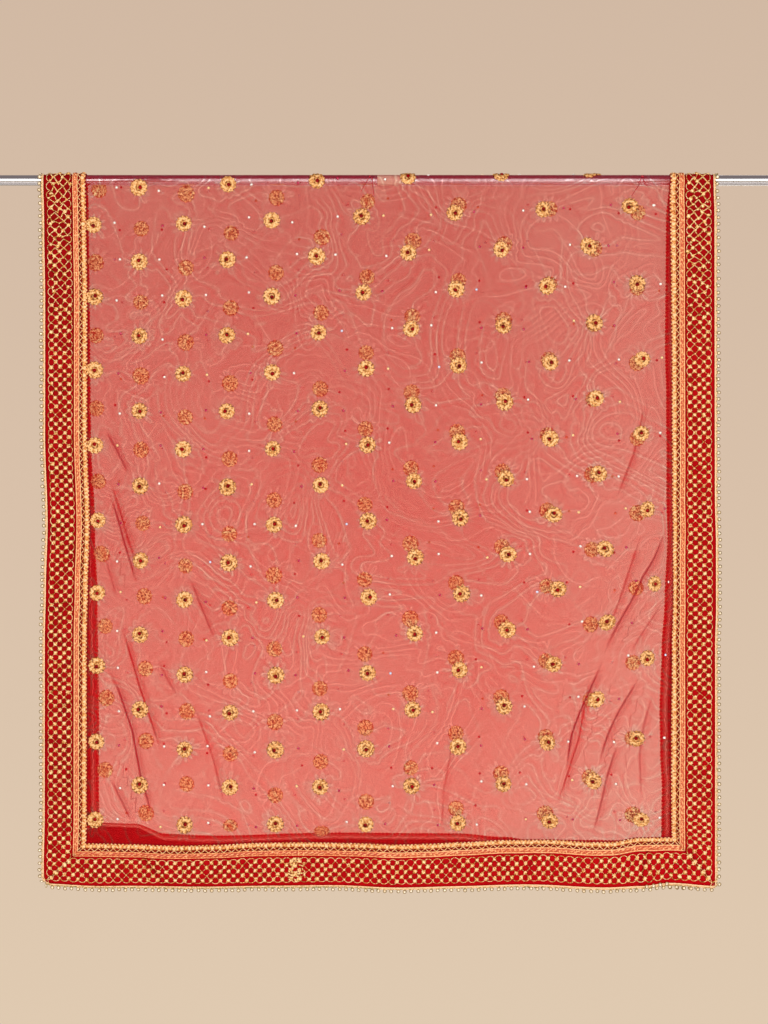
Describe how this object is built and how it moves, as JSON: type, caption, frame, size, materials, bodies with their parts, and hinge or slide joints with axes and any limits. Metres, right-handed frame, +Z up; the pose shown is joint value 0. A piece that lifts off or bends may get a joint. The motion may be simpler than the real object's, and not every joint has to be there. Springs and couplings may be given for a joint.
{
  "type": "dupatta stole draped over a rod",
  "caption": "Sheer net dupatta stole with flower appliques, trellis border and beaded edge, folded once over a straight round rod.",
  "frame": {"origin": "on the rod's axis at mid-span, where the rod is held", "axes": "+X along the rod to the right of someone facing the front panel, +Y from the front panel to the back panel, +Z up"},
  "size_m": [1.3, 0.0505, 1.1257],
  "materials": {
    "rod_chrome": "polished steel tube, bright with a soft dark band",
    "sleeve_beige": "matt pale beige joining sleeve",
    "net_red": "sheer red net, see-through, with a faint watered pattern where two layers lie over each other",
    "border_red": "deep scarlet plain cloth under a gold cord trellis and a peach-gold braid",
    "lace_gold": "gold metallic thread lace with scalloped loops",
    "edging_gold": "pale gold piping with a row of small pearl-gold beads",
    "flower_gold": "gold cord flower applique, shining thread",
    "stone_ruby": "dark ruby glass-like round stone",
    "sequin_gold": "tiny shining sequin"
  },
  "bodies": {
    "root": {"rod_left": "rod_chrome", "rod_sleeve": "sleeve_beige", "rod_right": "rod_chrome", "net_front": "net_red", "net_back": "net_red", "net_top": "net_red", "border_front_left": "border_red", "border_front_right": "border_red", "border_front_hem": "border_red", "border_back_left": "border_red", "border_back_right": "border_red", "border_back_hem": "border_red", "border_top_left": "border_red", "border_top_right": "border_red", "lace_front_left": "lace_gold", "lace_front_right": "lace_gold", "lace_front_hem": "lace_gold", "lace_back_left": "lace_gold", "lace_back_right": "lace_gold", "lace_back_hem": "lace_gold", "lace_top_left": "lace_gold", "lace_top_right": "lace_gold", "edging_front_left": "edging_gold", "edging_front_right": "edging_gold", "edging_front_hem": "edging_gold", "edging_back_left": "edging_gold", "edging_back_right": "edging_gold", "edging_back_hem": "edging_gold", "edging_top_left": "edging_gold", "edging_top_right": "edging_gold"}
  },
  "joints": []
}
